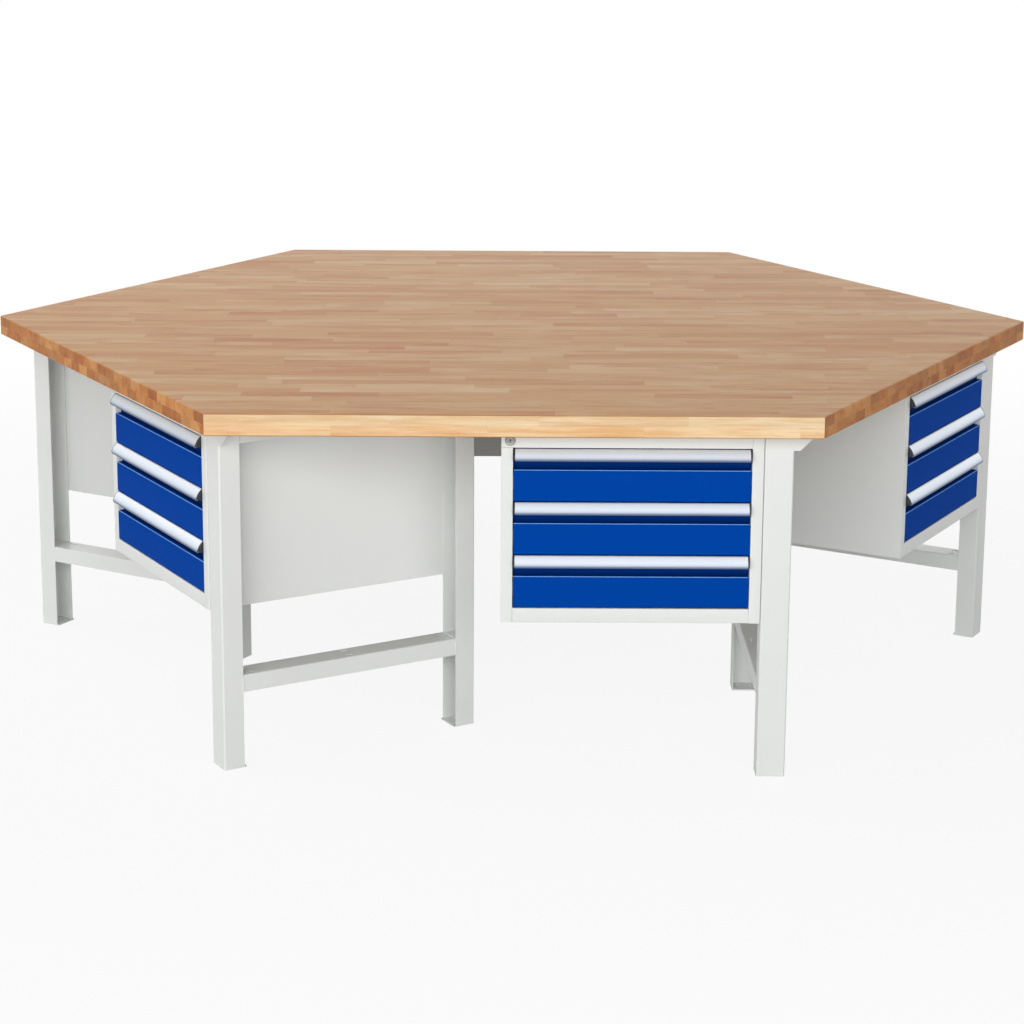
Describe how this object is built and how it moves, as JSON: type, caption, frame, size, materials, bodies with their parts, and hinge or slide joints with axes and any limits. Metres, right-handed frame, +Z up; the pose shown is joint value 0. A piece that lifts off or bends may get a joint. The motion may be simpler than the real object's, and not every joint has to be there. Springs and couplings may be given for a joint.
{
  "type": "multi-station workbench",
  "caption": "Hexagonal multi-station workbench: glued beech top on welded steel leg frames, with a hanging cabinet of lockable sliding drawers at every station.",
  "frame": {"origin": "on the floor, under the centre of the worktop", "axes": "+Z up; station 1 faces -Y and its operator's right hand is towards +X; the other stations follow anticlockwise seen from above, 60 degrees apart"},
  "size_m": [2.7, 2.3382, 0.85],
  "materials": {
    "beech": "oiled",
    "steel_grey": "powder coated",
    "drawer_blue": "powder coated",
    "handle_aluminium": "satin anodised",
    "lock_metal": "nickel plated",
    "zinc_steel": "zinc plated"
  },
  "bodies": {
    "bench": {"worktop": "beech", "runner_rails": "zinc_steel", "lock_housings": "lock_metal", "fasteners": "zinc_steel", "leg_frame_1": "steel_grey", "cabinet_1": "steel_grey", "leg_frame_2": "steel_grey", "cabinet_2": "steel_grey", "leg_frame_3": "steel_grey", "cabinet_3": "steel_grey", "leg_frame_4": "steel_grey", "cabinet_4": "steel_grey", "leg_frame_5": "steel_grey", "cabinet_5": "steel_grey", "leg_frame_6": "steel_grey", "cabinet_6": "steel_grey"},
    "lock_1": {"lock_1": "lock_metal"},
    "drawer_1_bottom": {"drawer_1_bottom": "drawer_blue", "handle_1_bottom": "handle_aluminium"},
    "drawer_1_middle": {"drawer_1_middle": "drawer_blue", "handle_1_middle": "handle_aluminium"},
    "drawer_1_top": {"drawer_1_top": "drawer_blue", "handle_1_top": "handle_aluminium"},
    "lock_2": {"lock_2": "lock_metal"},
    "drawer_2_bottom": {"drawer_2_bottom": "drawer_blue", "handle_2_bottom": "handle_aluminium"},
    "drawer_2_middle": {"drawer_2_middle": "drawer_blue", "handle_2_middle": "handle_aluminium"},
    "drawer_2_top": {"drawer_2_top": "drawer_blue", "handle_2_top": "handle_aluminium"},
    "lock_3": {"lock_3": "lock_metal"},
    "drawer_3_bottom": {"drawer_3_bottom": "drawer_blue", "handle_3_bottom": "handle_aluminium"},
    "drawer_3_middle": {"drawer_3_middle": "drawer_blue", "handle_3_middle": "handle_aluminium"},
    "drawer_3_top": {"drawer_3_top": "drawer_blue", "handle_3_top": "handle_aluminium"},
    "lock_4": {"lock_4": "lock_metal"},
    "drawer_4_bottom": {"drawer_4_bottom": "drawer_blue", "handle_4_bottom": "handle_aluminium"},
    "drawer_4_middle": {"drawer_4_middle": "drawer_blue", "handle_4_middle": "handle_aluminium"},
    "drawer_4_top": {"drawer_4_top": "drawer_blue", "handle_4_top": "handle_aluminium"},
    "lock_5": {"lock_5": "lock_metal"},
    "drawer_5_bottom": {"drawer_5_bottom": "drawer_blue", "handle_5_bottom": "handle_aluminium"},
    "drawer_5_middle": {"drawer_5_middle": "drawer_blue", "handle_5_middle": "handle_aluminium"},
    "drawer_5_top": {"drawer_5_top": "drawer_blue", "handle_5_top": "handle_aluminium"},
    "lock_6": {"lock_6": "lock_metal"},
    "drawer_6_bottom": {"drawer_6_bottom": "drawer_blue", "handle_6_bottom": "handle_aluminium"},
    "drawer_6_middle": {"drawer_6_middle": "drawer_blue", "handle_6_middle": "handle_aluminium"},
    "drawer_6_top": {"drawer_6_top": "drawer_blue", "handle_6_top": "handle_aluminium"}
  },
  "joints": [
    {"name": "lock_1_turn", "type": "hinge", "parent": "bench", "child": "lock_1", "pos_m": [-0.0085, -1.11313, 0.781], "axis": [0, 1, 0], "range_deg": [0, 90]},
    {"name": "drawer_1_bottom_slide", "type": "slide", "parent": "bench", "child": "drawer_1_bottom", "axis": [0, -1, 0], "range_m": [0, 0.45]},
    {"name": "drawer_1_middle_slide", "type": "slide", "parent": "bench", "child": "drawer_1_middle", "axis": [0, -1, 0], "range_m": [0, 0.45]},
    {"name": "drawer_1_top_slide", "type": "slide", "parent": "bench", "child": "drawer_1_top", "axis": [0, -1, 0], "range_m": [0, 0.45]},
    {"name": "lock_2_turn", "type": "hinge", "parent": "bench", "child": "lock_2", "pos_m": [0.95975, -0.56393, 0.781], "axis": [-0.866, 0.5, 0], "range_deg": [0, 90]},
    {"name": "drawer_2_bottom_slide", "type": "slide", "parent": "bench", "child": "drawer_2_bottom", "axis": [0.866, -0.5, 0], "range_m": [0, 0.45]},
    {"name": "drawer_2_middle_slide", "type": "slide", "parent": "bench", "child": "drawer_2_middle", "axis": [0.866, -0.5, 0], "range_m": [0, 0.45]},
    {"name": "drawer_2_top_slide", "type": "slide", "parent": "bench", "child": "drawer_2_top", "axis": [0.866, -0.5, 0], "range_m": [0, 0.45]},
    {"name": "lock_3_turn", "type": "hinge", "parent": "bench", "child": "lock_3", "pos_m": [0.96825, 0.54921, 0.781], "axis": [-0.866, -0.5, 0], "range_deg": [0, 90]},
    {"name": "drawer_3_bottom_slide", "type": "slide", "parent": "bench", "child": "drawer_3_bottom", "axis": [0.866, 0.5, 0], "range_m": [0, 0.45]},
    {"name": "drawer_3_middle_slide", "type": "slide", "parent": "bench", "child": "drawer_3_middle", "axis": [0.866, 0.5, 0], "range_m": [0, 0.45]},
    {"name": "drawer_3_top_slide", "type": "slide", "parent": "bench", "child": "drawer_3_top", "axis": [0.866, 0.5, 0], "range_m": [0, 0.45]},
    {"name": "lock_4_turn", "type": "hinge", "parent": "bench", "child": "lock_4", "pos_m": [0.0085, 1.11313, 0.781], "axis": [0, -1, 0], "range_deg": [0, 90]},
    {"name": "drawer_4_bottom_slide", "type": "slide", "parent": "bench", "child": "drawer_4_bottom", "axis": [0, 1, 0], "range_m": [0, 0.45]},
    {"name": "drawer_4_middle_slide", "type": "slide", "parent": "bench", "child": "drawer_4_middle", "axis": [0, 1, 0], "range_m": [0, 0.45]},
    {"name": "drawer_4_top_slide", "type": "slide", "parent": "bench", "child": "drawer_4_top", "axis": [0, 1, 0], "range_m": [0, 0.45]},
    {"name": "lock_5_turn", "type": "hinge", "parent": "bench", "child": "lock_5", "pos_m": [-0.95975, 0.56393, 0.781], "axis": [0.866, -0.5, 0], "range_deg": [0, 90]},
    {"name": "drawer_5_bottom_slide", "type": "slide", "parent": "bench", "child": "drawer_5_bottom", "axis": [-0.866, 0.5, 0], "range_m": [0, 0.45]},
    {"name": "drawer_5_middle_slide", "type": "slide", "parent": "bench", "child": "drawer_5_middle", "axis": [-0.866, 0.5, 0], "range_m": [0, 0.45]},
    {"name": "drawer_5_top_slide", "type": "slide", "parent": "bench", "child": "drawer_5_top", "axis": [-0.866, 0.5, 0], "range_m": [0, 0.45]},
    {"name": "lock_6_turn", "type": "hinge", "parent": "bench", "child": "lock_6", "pos_m": [-0.96825, -0.54921, 0.781], "axis": [0.866, 0.5, 0], "range_deg": [0, 90]},
    {"name": "drawer_6_bottom_slide", "type": "slide", "parent": "bench", "child": "drawer_6_bottom", "axis": [-0.866, -0.5, 0], "range_m": [0, 0.45]},
    {"name": "drawer_6_middle_slide", "type": "slide", "parent": "bench", "child": "drawer_6_middle", "axis": [-0.866, -0.5, 0], "range_m": [0, 0.45]},
    {"name": "drawer_6_top_slide", "type": "slide", "parent": "bench", "child": "drawer_6_top", "axis": [-0.866, -0.5, 0], "range_m": [0, 0.45]}
  ]
}
